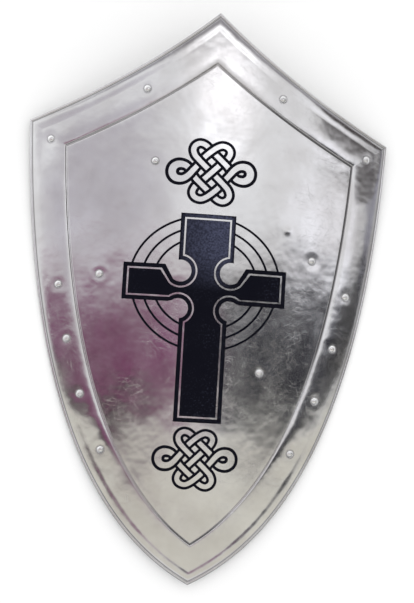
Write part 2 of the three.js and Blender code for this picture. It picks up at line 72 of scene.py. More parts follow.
def bend(sheet):
    """Points of the flat sheet (across, along, height), moved onto the bent one."""
    across, along, height = np.asarray(sheet, float).T
    radius = BEND_RADIUS + height
    angle = across / BEND_RADIUS
    return np.stack([radius * np.sin(angle), along, radius * np.cos(angle) - BEND_RADIUS], axis=1)


def turn_with_bend(across, ways):
    """Directions at flat spots, turned as the bent sheet turns them there."""
    sine, cosine = np.sin(np.asarray(across) / BEND_RADIUS), np.cos(np.asarray(across) / BEND_RADIUS)
    x, y, z = np.asarray(ways, float).T
    return np.stack([x * cosine + z * sine, y, z * cosine - x * sine], axis=1)


peak = np.array([0.0, SHEET_LENGTH / 2])
corner = np.array([SHEET_WIDTH / 2, SHEET_LENGTH / 2 - CORNER_DROP])
point = np.array([0.0, -SHEET_LENGTH / 2])
chord = (corner - peak) / np.linalg.norm(corner - peak)
hollowed = (peak + corner) / 2 + 2 * TOP_HOLLOW * np.array([chord[1], -chord[0]])
top_edge = np.array([peak, hollowed, corner])
side_handle = corner - SIDE_REACH * np.array([sin(SIDE_LEAN), cos(SIDE_LEAN)])
point_handle = point + POINT_REACH * np.array([sin(POINT_HALF_ANGLE), cos(POINT_HALF_ANGLE)])
side_edge = np.array([corner, side_handle, point_handle, point])


def bezier(control, steps):
    """Points and unit tangents along a Bezier curve of any order."""
    share = np.linspace(0, 1, steps + 1)[:, None]

    def mix(points):
        while len(points) > 1:
            points = [a * (1 - share) + b * share for a, b in zip(points, points[1:])]
        return points[0]

    tangent = mix([b - a for a, b in zip(control, control[1:])])
    return mix(list(control)), tangent / np.linalg.norm(tangent, axis=1)[:, None], share


def crossings(a, b, c, d):
    """Where the segments a-b cross the segments c-d, as the shares along both."""
    ab, cd = b - a, d - c
    area = ab[:, None, 0] * cd[None, :, 1] - ab[:, None, 1] * cd[None, :, 0]
    ac = c[None] - a[:, None]
    with np.errstate(divide="ignore", invalid="ignore"):
        first = (ac[..., 0] * cd[None, :, 1] - ac[..., 1] * cd[None, :, 0]) / area
        second = (ac[..., 0] * ab[:, None, 1] - ac[..., 1] * ab[:, None, 0]) / area
    hit = (first >= 0) & (first < 1) & (second >= 0) & (second < 1)
    return [(i, j, first[i, j], second[i, j]) for i, j in zip(*np.nonzero(hit))]


def at_shares(line, shares):
    """Points of a line at the given shares of its length."""
    length = np.concatenate([[0], np.cumsum(np.linalg.norm(np.diff(line, axis=0), axis=1))])
    return np.stack([np.interp(shares * length[-1], length, line[:, k]) for k in (0, 1)], axis=1)


def evenly(line, steps):
    """The same line with evenly spaced points."""
    return at_shares(line, np.linspace(0, 1, steps + 1))


TOP_STEPS = 160
SIDE_STEPS = 240


def inset_half(inset):
    """The right half of the outline, moved inwards, as its top part and its side part."""
    top, tangent, _ = bezier(top_edge, TOP_STEPS)
    top = top + inset * np.stack([tangent[:, 1], -tangent[:, 0]], axis=1)
    side, tangent, share = bezier(side_edge, SIDE_STEPS)
    width = BORDER_WIDTH + (BORDER_WIDTH_AT_POINT - BORDER_WIDTH) * share
    scale = (width - RIM_DIAMETER) / (BORDER_WIDTH - RIM_DIAMETER)
    narrowed = RIM_DIAMETER + (inset - RIM_DIAMETER) * scale
    depth = narrowed if inset > RIM_DIAMETER else inset
    side = side + depth * np.stack([tangent[:, 1], -tangent[:, 0]], axis=1)
    met = crossings(top[:-1], top[1:], side[:-1], side[1:]) if inset > 0 else []
    if met:
        i, j, first, _ = met[0]
        spot = top[i] + first * (top[i + 1] - top[i])
        top = np.vstack([top[:i + 1], spot])
        side = np.vstack([spot, side[j + 1:]])

    def to_axis(start, end):
        return start + (end - start) * start[0] / (start[0] - end[0])

    first = int(np.argmax(top[:, 0] > 0))
    if first > 1:
        top = np.vstack([to_axis(top[first - 1], top[first]), top[first:]])
    last = int(np.argmax(side[:, 0] <= 0))
    if 0 < last < len(side) - 1:
        side = np.vstack([side[:last], to_axis(side[last - 1], side[last])])
    return top, side


def inset_loop(inset, top_shares, side_shares):
    """The whole outline, moved inwards, clockwise from the peak as seen from the face."""
    top, side = inset_half(inset + TRIM)
    half = np.vstack([at_shares(top, top_shares), at_shares(side, side_shares)[1:]])
    return np.vstack([half, half[-2:0:-1] * [-1, 1]])


# Hammer marks: shallow waves of the sheet in random directions, each kind with its own slope
WAVE_LENGTHS = (0.24, 0.15, 0.10, 0.065, 0.042, 0.028)
WAVE_SLOPES = (0.0022, 0.0024, 0.0028, 0.0034, 0.0038, 0.0036)
WAVES_OF_A_KIND = 4
RELIEF_DROP = 0.0005  # keeps the highest wave inside the solid
wave_draw = np.random.default_rng(11)
waves = []
for length, slope in zip(WAVE_LENGTHS, WAVE_SLOPES):
    for way, phase in wave_draw.uniform(0, 2 * pi, (WAVES_OF_A_KIND, 2)):
        size = slope * length / (2 * pi) / sqrt(WAVES_OF_A_KIND / 2)
        waves.append((cos(way) / length, sin(way) / length, size, phase))
RIVET_INSET = 0.030
TOP_RIVET_SHARE = 0.44
CORNER_DROP_LEFT = 0.005
CORNER_DROP_RIGHT = 0.0015
SIDE_RIVET_COUNT = 4
SIDE_RIVET_PITCH = 0.067
FIRST_RIVET_LEFT = 0.003
FIRST_RIVET_RIGHT = 0.0095
STRAP_SPAN = 0.157
STRAP_TILT = radians(23)
STRAPS = {"arm": (-0.1015, 0.0905, 0.028), "grip": (0.1053, -0.0208, 0.017)}
BUMP = (0.1013, 0.0870)
rivet_top, rivet_side = inset_half(RIVET_INSET)
on_top_line = at_shares(rivet_top, np.array([TOP_RIVET_SHARE]))[0]


def on_side_line(along):
    return np.array([np.interp(-along, -rivet_side[:, 1], rivet_side[:, 0]), along])


border_rivets = {}
for side_name, sign, first_along, drop in (
    ("left", -1, FIRST_RIVET_LEFT, CORNER_DROP_LEFT), ("right", 1, FIRST_RIVET_RIGHT, CORNER_DROP_RIGHT),
):
    border_rivets[f"rivet_top_{side_name}"] = on_top_line * [sign, 1]
    border_rivets[f"rivet_corner_{side_name}"] = (rivet_side[0] - [0, drop]) * [sign, 1]
    for number in range(SIDE_RIVET_COUNT):
        spot = on_side_line(first_along - SIDE_RIVET_PITCH * number)
        border_rivets[f"rivet_side_{side_name}_{number + 1}"] = spot * [sign, 1]
strap_rivets = {}
for strap_name, (across, along, _) in STRAPS.items():
    for end_name, sign in (("upper", 1), ("lower", -1)):
        way = sign * STRAP_SPAN / 2 * np.array([sin(STRAP_TILT), cos(STRAP_TILT)])
        strap_rivets[f"rivet_{strap_name}_{end_name}"] = np.array([across, along]) + way
rivet_spots = np.array(list(border_rivets.values()) + list(strap_rivets.values()))

# Each rivet drew the sheet into a small uneven dish when it was hammered
dish_draw = np.random.default_rng(5)
DISH_DEPTHS = dish_draw.uniform(0.00012, 0.00026, len(rivet_spots))
DISH_RADII = dish_draw.uniform(0.0055, 0.0075, len(rivet_spots))
DISH_SHIFTS = dish_draw.uniform(-0.0010, 0.0010, (len(rivet_spots), 2))


# Vertices lie closer together beside the rivets, along the outline and round each dish
CROWDING = 4
CROWDED_REACH = 0.009
TOP_VERTICES = 75
SIDE_VERTICES = 240


def near_rivets(line, steps):
    """Shares of a line's length, closer together beside the rivets."""
    fine = evenly(line, 2000)
    spots = np.vstack([rivet_spots, rivet_spots * [-1, 1]])
    away = np.linalg.norm(fine[:, None] - spots, axis=2).min(1)
    density = 1 + CROWDING * np.exp(-(away / CROWDED_REACH) ** 2)
    run = np.concatenate([[0], np.cumsum((density[1:] + density[:-1]) / 2)])
    return np.interp(np.linspace(0, run[-1], steps + 1), run, np.linspace(0, 1, len(fine)))


TOP_SHARES = near_rivets(rivet_top, TOP_VERTICES)
SIDE_SHARES = near_rivets(rivet_side, SIDE_VERTICES)
LIP_SHARE = 0.25  # of a dish's depth; the lip's place and width are in the dish's radii
LIP_PLACE = 1.9
LIP_WIDTH = 0.6
BUMP_HEIGHT = 0.00045
BUMP_WIDTH = 0.0046
FLATTER_TOP = 0.6  # how much of the border's crown is lost, and where that starts and its run
FLATTER_TOP_RUN = (0.13, 0.05)
FLATTER_POINT = 0.8
FLATTER_POINT_RUN = (0.16, 0.06)
RELIEF_RUN = 0.012
RELIEF_START = 0.4


def ramp(value, start, run):
    """Rises from 0 to 1 while a value goes from its start along its run."""
    return np.clip((value - start) / run, 0, 1)


def relief(spots, depth):
    """Height of the waves, dishes and small bump at flat spots that lie depth inside the edge.
    The border's crown is flatter along the two top edges and towards the point."""
    across, along = spots.T
    flatter = FLATTER_TOP * ramp(along, *FLATTER_TOP_RUN) + FLATTER_POINT * ramp(-along, *FLATTER_POINT_RUN)
    height = -RELIEF_DROP - flatter * np.maximum(border_height(depth), 0)
    for wave_across, wave_along, size, phase in waves:
        height += size * np.sin(2 * pi * (across * wave_across + along * wave_along) + phase)
    for spot, deep, wide, shift in zip(rivet_spots, DISH_DEPTHS, DISH_RADII, DISH_SHIFTS):
        away = np.hypot(*(spots - spot - shift).T) / wide
        lip = LIP_SHARE * np.exp(-((away - LIP_PLACE) / LIP_WIDTH) ** 2)
        height += deep * (lip - np.exp(-away ** 2))
    away = np.hypot(*(spots - BUMP).T)
    height += BUMP_HEIGHT * np.exp(-(away / BUMP_WIDTH) ** 2)
    return height * np.clip(depth / RELIEF_RUN - RELIEF_START, 0, 1)


# Painted shade, dark lines on the steel: how much at least and at most, and where that starts and its run
SHADE_LEAST = 0.04
SHADE_MOST = 0.90
SHADE_RIGHT_RUN = (-0.02, 0.10)
SHADE_RIGHT_RISE = (-0.16, 0.10)
SHADE_LEFT = 0.5
SHADE_LEFT_RUN = (0, 0.03)
SHADE_LEFT_RISE = (0.17, 0.02)
SHADE_POINT_RUN = (0.26, 0.03)
SHADE_AT_RIM = 0.8
RIM_FOOT_PLACE = 0.95  # in rim diameters
SHADE_AT_RIVETS = 0.6
SHADE_RING_RADIUS = 0.0049
SHADE_LINE = 0.0007


def painted_shade(spots, inset):
    """Where shade is painted dark on the steel: in the groove, most on the right, at the rim's foot and round
    the rivets."""
    across, along = spots.T
    right = ramp(across, *SHADE_RIGHT_RUN) * ramp(along, *SHADE_RIGHT_RISE)
    upper_left = SHADE_LEFT * ramp(-across, *SHADE_LEFT_RUN) * ramp(along, *SHADE_LEFT_RISE)
    most = np.maximum(np.maximum(right, upper_left), ramp(-along, *SHADE_POINT_RUN))
    across_groove = np.clip((inset - BORDER_WIDTH) / GROOVE_HALF_WIDTH, -1, 1)
    in_groove = (SHADE_LEAST + SHADE_MOST * most) * (1 - across_groove ** 2) ** (3 - 2 * right)
    from_foot = (inset - RIM_DIAMETER * RIM_FOOT_PLACE) / SHADE_LINE
    away = np.linalg.norm(spots[:, None] - rivet_spots, axis=2).min(1)
    from_ring = (away - SHADE_RING_RADIUS) / SHADE_LINE
    at_rim, at_rivets = SHADE_AT_RIM * np.exp(-from_foot ** 2), SHADE_AT_RIVETS * np.exp(-from_ring ** 2)
    return np.maximum(in_groove, np.maximum(at_rim, at_rivets))


SHOULDER_RUN = 0.012
FIELD_DIP = 0.0004
FIELD_DIP_REACH = 0.006


def border_height(inset):
    """Height of the crowned border, the groove and its two shoulders, by distance from the edge."""
    inset = np.asarray(inset, float)
    share = ramp(inset, RIM_DIAMETER, BORDER_WIDTH - GROOVE_HALF_WIDTH - RIM_DIAMETER)
    crown = (BORDER_CROWN - SHOULDER_HEIGHT) * (1 - np.abs(2 * share - 1) ** 3)
    from_groove = inset - BORDER_WIDTH
    wave = 0.5 * (1 + np.cos(pi * from_groove / GROOVE_HALF_WIDTH))
    groove = np.where(np.abs(from_groove) < GROOVE_HALF_WIDTH, -GROOVE_DEPTH * wave, 0)
    before = np.clip(-from_groove - GROOVE_HALF_WIDTH, 0, None)
    shoulder = SHOULDER_HEIGHT * (1 - np.exp(-before / SHOULDER_REACH))
    beyond = np.clip(from_groove - GROOVE_HALF_WIDTH, 0, None)
    inner = np.where(from_groove > 0, FIELD_DIP * (np.exp(-beyond / FIELD_DIP_REACH) - 1), 0)
    return crown + shoulder * ramp(inset, RIM_DIAMETER, SHOULDER_RUN) + groove + inner


GROOVE_INNER = BORDER_WIDTH + GROOVE_HALF_WIDTH
inner_loop = inset_loop(GROOVE_INNER, TOP_SHARES, SIDE_SHARES)


def from_loop(spots, loop):
    """Distance of each spot from each stretch of a closed loop."""
    way = np.roll(loop, -1, axis=0) - loop
    share = np.clip(((spots[:, None] - loop) * way).sum(2) / (way ** 2).sum(1), 0, 1)
    return np.linalg.norm(spots[:, None] - loop - share[..., None] * way, axis=2)


def inset_from_inner(spots):
    """Distance of the field's flat spots from the edge, counted from the groove's inner line."""
    blocks = np.array_split(spots, max(1, len(spots) // 1500))
    return GROOVE_INNER + np.concatenate([from_loop(block, inner_loop).min(1) for block in blocks])


def field_height(spots):
    inset = inset_from_inner(spots)
    return border_height(inset) + relief(spots, inset)


# Etched drawing: the outlines of everything black, on the flat sheet
ETCH_DEPTH = 0.00035
CROSS_HEIGHT = 0.012
TOP_ARM_LENGTH = 0.088
TOP_ARM_WIDTH = 0.069
SIDE_ARM_LENGTH = 0.1025
SIDE_ARM_WIDTH = 0.046
FOOT_LENGTH = 0.1705
FOOT_WIDTH = 0.0595
INLINE_INSET = 0.0052
INLINE_WIDTH = 0.0021
UPPER_NOTCH = (0.0313, 0.0157, 0.0136)  # across, along and radius, from the cross's middle
LOWER_NOTCH = (0.03175, -0.0310, 0.0124)
UPPER_NOTCH_END = radians(310)
LOWER_NOTCH_START = radians(50)
NOTCH_STEPS = 36
UPPER_ARM_START = (0.019, 0.8)  # beyond the notch's middle, and how far an inset moves it
LOWER_ARM_START = (0.014, 1.2)


def cross_outline(inset):
    """The cross drawn smaller by an inset, with a round notch in each inner angle."""
    top_side, foot_side = TOP_ARM_WIDTH / 2 - inset, FOOT_WIDTH / 2 - inset
    arm_side, arm_end = SIDE_ARM_WIDTH / 2 - inset, SIDE_ARM_LENGTH - inset
    points = [(top_side, TOP_ARM_LENGTH - inset)]

    def notch(across, along, radius, start, end):
        for angle in np.linspace(start, end, NOTCH_STEPS):
            points.append((across + radius * cos(angle), along + radius * sin(angle)))

    across, along, radius = UPPER_NOTCH
    start = acos((top_side - across) / (radius + inset))
    notch(across, along, radius + inset, start, UPPER_NOTCH_END)
    beyond, moved = UPPER_ARM_START
    points += [(across + beyond + moved * inset, arm_side), (arm_end, arm_side), (arm_end, -arm_side)]
    across, along, radius = LOWER_NOTCH
    beyond, moved = LOWER_ARM_START
    points.append((across + beyond + moved * inset, -arm_side))
    end = 2 * pi - acos((foot_side - across) / (radius + inset))
    notch(across, along, radius + inset, LOWER_NOTCH_START, end)
    points.append((foot_side, -FOOT_LENGTH + inset))
    half = np.array(points)
    return np.vstack([half, half[::-1] * [-1, 1]]) + [0, CROSS_HEIGHT]


RING_COUNT = 3
RING_HALF_HEIGHT = 0.0835
RING_SPACING_ALONG = 0.013
UPPER_RING_HALF_WIDTH = 0.0945
UPPER_RING_SPACING = 0.0148
LOWER_RING_HALF_WIDTH = 0.0915
LOWER_RING_SPACING = 0.0133
RING_RISE = 0.0015
RING_LINE = 0.0028
RING_STEPS = 150


def full_turn(steps):
    return np.linspace(0, 2 * pi, steps, endpoint=False)


def ring_outline(ring, outwards):
    """One edge of a ring: an oval whose lower half is narrower; the change lies below the arms."""
    turn = full_turn(RING_STEPS)
    rise = (RING_HALF_HEIGHT - ring * RING_SPACING_ALONG + outwards) * np.sin(turn)
    share = np.clip(rise / (2 * SIDE_ARM_WIDTH / 3) + 0.5, 0, 1)
    upper = UPPER_RING_HALF_WIDTH - ring * UPPER_RING_SPACING + outwards
    lower = LOWER_RING_HALF_WIDTH - ring * LOWER_RING_SPACING + outwards
    across = (lower + (upper - lower) * share ** 2 * (3 - 2 * share)) * np.cos(turn)
    return np.stack([across, rise + RING_RISE + CROSS_HEIGHT], axis=1)


STRAND_WIDTH = 0.0058
STRAND_WIDENING = 0.0032
WIDENING_START = 0.014
WIDENING_REACH = 0.034
STRAND_LINE = 0.0036
LINE_WIDENING = 0.0006
KNOTS = [(0.1526, 1.02), (-0.2029, 0.94)]  # height on the sheet, size
KNOT_HALF = [  # millimetres
    (0, 0), (-8.5, -8.5), (-19.5, -19), (-22, -26), (-20, -30.5), (-16, -33), (-11, -33.5),
    (-6, -31.5), (-1, -28), (8.5, -19.5), (13.5, -13.5), (18.5, -6.5), (23, -1), (27.5, 4.5),
    (32.5, 8.5), (38, 10), (44.5, 8.5), (48, 3), (47, -3.5), (42, -7.5), (36.5, -8), (30.5, -6),
    (25, 0.5), (20, 7.5), (12.5, 14.5), (4.5, 21.5), (-1.5, 26.5), (-7, 32), (-11.5, 34.5),
    (-16.5, 35), (-21.5, 32), (-23.5, 27), (-21.5, 20.5), (-16, 14.5), (-9, 8),
]


FIRST_POINT = 4  # so that the strand doesn't start on a crossing
STEPS_A_POINT = 24
STRAND_STEP = 0.0014
SAME_STRAND = 10  # steps


def knot_path(size):
    """The closed strand: half its points, and the same turned by half a turn; a smooth spline."""
    half = np.array(KNOT_HALF) * 0.001
    control = np.vstack([half, [0, 0], -half[:0:-1]])
    control = np.roll(control, -FIRST_POINT, axis=0) * size
    knots = [0.0]
    for a, b in zip(control, np.roll(control, -1, axis=0)):
        knots.append(knots[-1] + sqrt(np.linalg.norm(b - a)))
    count, fine = len(control), []
    for i in range(count):
        p0, p1, p2, p3 = (control[(i + k) % count] for k in (-1, 0, 1, 2))
        t1, t2 = knots[i], knots[i + 1]
        t0 = t1 - sqrt(np.linalg.norm(p1 - p0))
        t3 = t2 + sqrt(np.linalg.norm(p3 - p2))
        for t in np.linspace(t1, t2, STEPS_A_POINT, endpoint=False):
            row = (p0, p1, p2, p3)
            for spans in (((t0, t1), (t1, t2), (t2, t3)), ((t0, t2), (t1, t3)), ((t1, t2),)):
                row = [((v - t) * p + (t - u) * q) / (v - u) for (u, v), p, q in zip(spans, row, row[1:])]
            fine.append(row[0])
    closed = np.vstack([fine, fine[:1]])
    steps = int(np.linalg.norm(np.diff(closed, axis=0), axis=1).sum() / STRAND_STEP)
    return evenly(closed, steps)[:-1]


class Knot:
    """One knot: its path, which strand is on top at each place, and its four rails."""

    def __init__(self, height, size):
        self.path = knot_path(size) + [0, height]
        count = len(self.path)
        nexts = np.roll(self.path, -1, axis=0)
        places = []
        for i, j, first, second in crossings(self.path, nexts, self.path, nexts):
            if 2 < (j - i) % count < count - 2:
                places.append(i + first)
        places = sorted(places)
        levels = [1 if k % 2 == 0 else -1 for k in range(len(places))]
        around = [places[-1] - count] + places + [places[0] + count]
        self.level = np.interp(np.arange(count) + 0.5, around, [levels[-1]] + levels + [levels[0]])
        tangent = nexts - np.roll(self.path, 1, axis=0)
        tangent /= np.linalg.norm(tangent, axis=1)[:, None]
        side = np.stack([-tangent[:, 1], tangent[:, 0]], axis=1)
        out = np.clip((np.abs(self.path[:, 0]) / size - WIDENING_START) / WIDENING_REACH, 0, 1)
        self.half = (STRAND_WIDTH + STRAND_WIDENING * out ** 1.5) / 2 * size
        self.reach = self.half + (STRAND_LINE + LINE_WIDENING * out) * size
        self.rails = [
            self.path + sign * wide[:, None] * side for wide in (self.half, self.reach) for sign in (1, -1)
        ]

    def black(self, spots):
        """Whether each spot is on the black line beside the strand that lies on top there."""
        away = from_loop(spots, self.path)
        inside = away < self.reach
        top = np.where(inside, self.level, -9).argmax(1)
        count = len(self.path)
        half = count // 2
        same = np.abs((np.arange(count) - top[:, None] + half) % count - half) < SAME_STRAND
        return inside.any(1) & (np.where(same, away - self.half, 1).min(1) >= 0)


knots = [Knot(height, size) for height, size in KNOTS]


def inside_outline(spots, outline):
    """Even-odd test of spots against a closed outline."""
    x, y = spots.T
    result = np.zeros(len(spots), bool)
    for (x1, y1), (x2, y2) in zip(outline, np.roll(outline, -1, axis=0)):
        if y1 != y2:
            result ^= ((y1 > y) != (y2 > y)) & (x < (x2 - x1) * (y - y1) / (y2 - y1) + x1)
    return result


cross_lines = [cross_outline(inset) for inset in (0, INLINE_INSET, INLINE_INSET + INLINE_WIDTH)]
ring_lines = [ring_outline(ring, side * RING_LINE / 2) for ring in range(RING_COUNT) for side in (1, -1)]


def is_black(spots):
    """Whether each flat spot lies in the etched black."""
    body, inline_outer, inline_inner = (inside_outline(spots, line) for line in cross_lines)
    black = body & ~(inline_outer & ~inline_inner)
    for outer, inner in zip(ring_lines[::2], ring_lines[1::2]):
        black |= ~body & inside_outline(spots, outer) & ~inside_outline(spots, inner)
    for knot in knots:
        low, high = knot.path.min(0) - knot.reach.max(), knot.path.max(0) + knot.reach.max()
        near = np.nonzero(((spots > low) & (spots < high)).all(1))[0]
        black[near] |= knot.black(spots[near])
    return black


def circle(radius, steps, twist=0.0):
    """Points evenly round a circle."""
    turn = full_turn(steps) + twist
    return radius * np.stack([np.cos(turn), np.sin(turn)], axis=1)


def densely(line, spacing):
    """A closed outline with points added so that none is farther from the next than the spacing."""
    result = []
    for a, b in zip(line, np.roll(line, -1, axis=0)):
        pieces = max(1, int(ceil(np.linalg.norm(b - a) / spacing)))
        result.extend(a + (b - a) * k / pieces for k in range(pieces))
    return np.array(result)


def grid_inside(loop, spacing, margin):
    """Staggered grid spots inside a loop, at least a margin from it."""
    rows = []
    for number, y in enumerate(np.arange(loop[:, 1].min(), loop[:, 1].max(), spacing * 0.87)):
        x = np.arange(-0.3, 0.3, spacing) + (spacing / 2 if number % 2 else 0)
        rows.append(np.stack([x, np.full(len(x), y)], axis=1))
    spots = np.vstack(rows)
    spots = spots[inside_outline(spots, loop)]
    return spots[inset_from_inner(spots) - GROOVE_INNER > margin]


def triangulate(loop, lines, spots):
    """Triangles of the area inside a loop that keep every line and spot as they are. They all
    run the same way round."""
    edges, total = [], 0
    for line in (loop, *lines):
        edges += [(total + i, total + (i + 1) % len(line)) for i in range(len(line))]
        total += len(line)
    flat = [Vector(p) for p in np.vstack([loop, *lines, spots])]
    found, _, faces, _, _, _ = delaunay_2d_cdt(flat, edges, [list(range(len(loop)))], 1, 1e-7)
    verts, faces = np.array([tuple(v) for v in found]), np.array([f for f in faces if len(f) == 3])
    a, b, c = (verts[faces[:, k]] for k in range(3))
    turned = (b - a)[:, 0] * (c - a)[:, 1] - (b - a)[:, 1] * (c - a)[:, 0] < 0
    faces[turned] = faces[turned][:, ::-1]
    return verts, faces


def field_normals(spots):
    """Unit normals of the bent field, from its heights nearby."""
    step = 0.0004
    heights = [field_height(spots + shift) for shift in ((step, 0), (-step, 0), (0, step), (0, -step))]
    slope_across = (heights[0] - heights[1]) / (2 * step)
    slope_along = (heights[2] - heights[3]) / (2 * step)
    local = np.stack([-slope_across, -slope_along, np.ones(len(spots))], axis=1)
    return turn_with_bend(spots[:, 0], local / np.linalg.norm(local, axis=1)[:, None])


class Sheet:
    """Vertices, normals, marks and faces of one mesh, gathered piece by piece."""

    def __init__(self):
        self.places, self.normals, self.marks, self.faces, self.slots, self.total = [], [], [], [], [], 0

    def add(self, places, normals, faces, slot=0, marks=None):
        self.places.append(np.asarray(places, float))
        self.normals.append(np.asarray(normals, float))
        self.marks.append(np.zeros(len(places)) if marks is None else marks)
        self.faces.extend([[int(v) + self.total for v in face] for face in faces])
        self.slots.extend([slot] * len(faces))
        self.total += len(places)


def loop_faces(rows, around, first=0, flipped=False, capped=False):
    """Faces between neighbouring closed loops of vertices, and over both ends where capped."""
    faces = []
    for start in range(first, first + (rows - 1) * around, around):
        for i in range(around):
            a, b = start + i, start + (i + 1) % around
            faces.append((a, b, b + around, a + around) if flipped else (a, a + around, b + around, b))
    if capped:
        last = first + (rows - 1) * around
        faces += [tuple(range(first, first + around)), tuple(range(last + around - 1, last - 1, -1))]
    return faces


plate = Sheet()

# Border and rim, as loops from the groove's inner line outwards, over the rim, and back below
LOOP_PLACES = (0.039, 0.021, 0.0085)  # where the loops change their spacing
RIM_STEPS = 15
RIM_SINK = 0.00013
# Painted shade on the rim: dark at its foot, and darker along its outer and lower flank
RIM_FOOT_SHADE = 0.7
RIM_DARK_RUN = (0.62 * pi, 0.2 * pi)  # start and run round the rim
RIM_DARKEST = 0.85
rim_radius = RIM_DIAMETER / 2 - TRIM
rim_centre = THICKNESS + RIM_PROUD - rim_radius - RIM_SINK
rim_start = asin((THICKNESS - rim_centre) / rim_radius)
rim_end = 2 * pi + asin(-rim_centre / rim_radius)
groove_outer = BORDER_WIDTH - GROOVE_HALF_WIDTH
rim_foot = rim_radius * (1 + cos(rim_start))


def stretches(ends, counts):
    """Distances from each end to the next in a number of equal steps."""
    steps = [np.linspace(a, b, count + 1)[1:] for a, b, count in zip(ends, ends[1:], counts)]
    return np.concatenate([ends[:1], *steps])


def band(loops, marked):
    """Closed loops given by inset and height, with faces between them and normals from their run."""
    grid, marks = [], []
    for (inset, height), mark in zip(loops, marked):
        loop = inset_loop(inset, TOP_SHARES, SIDE_SHARES)
        insets = np.full(len(loop), inset)
        grid.append(bend(np.column_stack([loop, height + relief(loop, insets)])))
        marks.append(painted_shade(loop, insets) if mark is None else np.full(len(loop), mark))
    grid = np.array(grid)
    run_out = np.gradient(grid, axis=0)
    run_round = np.roll(grid, -1, axis=1) - np.roll(grid, 1, axis=1)
    normal = np.cross(run_round, run_out)
    normal /= np.linalg.norm(normal, axis=2)[..., None]
    faces = loop_faces(*grid.shape[:2], flipped=True)
    plate.add(grid.reshape(-1, 3), normal.reshape(-1, 3), faces, marks=np.concatenate(marks))


insets_in = stretches((GROOVE_INNER, groove_outer, *LOOP_PLACES, rim_foot), (12, 6, 14, 6, 7))
insets_back = stretches((rim_foot, LOOP_PLACES[-1], groove_outer, GROOVE_INNER), (3, 10, 8))
rim_angles = np.linspace(rim_start, rim_end, RIM_STEPS)
# The rim's painted shade, by angle round it
rim_shade = [RIM_FOOT_SHADE] + [min(float(ramp(a, *RIM_DARK_RUN)), RIM_DARKEST) for a in rim_angles[1:]]
band([(inset, THICKNESS + float(border_height(inset))) for inset in insets_in], [None] * len(insets_in))
band([(rim_radius * (1 + cos(a)), rim_centre + rim_radius * sin(a)) for a in rim_angles], rim_shade)
band([(inset, float(border_height(inset))) for inset in insets_back], [0.0] * len(insets_back))

# Field: the steel face, the sunk black areas with their walls, and the plain back
LINE_STEP = 0.003
FACE_GRID = (0.005, 0.003)  # step, and least distance from the groove
BACK_GRID = (0.009, 0.005)
DISH_RINGS = (0.0012, 0.0024, 0.0036, 0.0046, 0.0052, 0.0060, 0.0074, 0.0092, 0.0112, 0.0136)
DISH_RING_STEPS = 24
DISH_RING_TWIST = 400
DISH_AREA = 0.0155
PALER_RISE = (0.005, 0.05)  # of the paler black: start and run, up the shaft and to the right
PALER_RIGHT = (-0.03, 0.04)
PALER_LEAST = 0.45
PALER_EDGE = 0.006
lines = [densely(line, LINE_STEP) for line in cross_lines] + ring_lines
for knot in knots:
    lines += knot.rails
dish_centres = np.array([*strap_rivets.values(), BUMP])
round_dishes = []
for spot in dish_centres:
    for radius in DISH_RINGS:
        round_dishes.append(spot + circle(radius, DISH_RING_STEPS, DISH_RING_TWIST * radius))
grid_spots = grid_inside(inner_loop, *FACE_GRID)
far = np.linalg.norm(grid_spots[:, None] - dish_centres, axis=2).min(1) > DISH_AREA
field_spots, field_faces = triangulate(inner_loop, lines, np.vstack([grid_spots[far], *round_dishes]))
blackened = is_black(field_spots[field_faces].mean(1))
heights = THICKNESS + field_height(field_spots)
normals = field_normals(field_spots)
face_places = bend(np.column_stack([field_spots, heights]))
floor_places = bend(np.column_stack([field_spots, heights - ETCH_DEPTH]))
# Painted shade on the steel face: dark in the groove and round the rivets
face_shade = painted_shade(field_spots, inset_from_inner(field_spots))
across, along = field_spots.T
paler_black_share = ramp(along, *PALER_RISE) * (PALER_LEAST + (1 - PALER_LEAST) * ramp(across, *PALER_RIGHT))
paler_black_share *= ramp(TOP_ARM_WIDTH / 2 - np.abs(across), 0, PALER_EDGE) * (along < CROSS_HEIGHT + TOP_ARM_LENGTH)
for etched, places, slot, marks in ((False, face_places, 0, face_shade), (True, floor_places, 1, paler_black_share)):
    chosen = field_faces[blackened == etched]
    used, flat_index = np.unique(chosen, return_inverse=True)
    plate.add(places[used], normals[used], flat_index.reshape(-1, 3), slot, marks[used])

edge_owner = {}
for face, black in zip(field_faces, blackened):
    for k in range(3):
        edge_owner[(face[k], face[(k + 1) % 3])] = black
wall_places, wall_across, wall_sides = [], [], []
for (p, q), black in edge_owner.items():
    if not black and edge_owner.get((q, p), False):
        way = field_spots[q] - field_spots[p]
        length = max(np.linalg.norm(way), 1e-9)
        wall_places += [face_places[q], face_places[p], floor_places[p], floor_places[q]]
        wall_across += [field_spots[p][0]] * 4
        wall_sides += [(way[1] / length, -way[0] / length, 0)] * 4
wall_faces = np.arange(len(wall_places)).reshape(-1, 4)
plate.add(wall_places, turn_with_bend(wall_across, wall_sides), wall_faces, 1)

back_spots, back_faces = triangulate(inner_loop, [], grid_inside(inner_loop, *BACK_GRID))
back_places = bend(np.column_stack([back_spots, field_height(back_spots)]))
plate.add(back_places, -field_normals(back_spots), back_faces[:, ::-1])

# Lying face up, the sheet leans until its point and its two upper corners touch the floor
under_rim = rim_centre - rim_radius
corner_rest, point_rest = bend([[*corner, under_rim], [*point, under_rim]])
lean = atan2(point_rest[2] - corner_rest[2], corner_rest[1] - point_rest[1])
lay_down = Matrix.Rotation(lean, 4, "X")
plate_low, plate_high = (np.array(c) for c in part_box("shield_plate"))
laid = np.vstack(plate.places) @ np.array(lay_down.to_3x3()).T
shift = (plate_low + plate_high) / 2 - (laid.min(0) + laid.max(0)) / 2
shift[2] = plate_low[2] - laid[:, 2].min()
lay_down = Matrix.Translation(Vector(shift)) @ lay_down


def new_object(name, data):
    made = bpy.data.objects.new(name, data)
    bpy.context.scene.collection.objects.link(made)
    return made


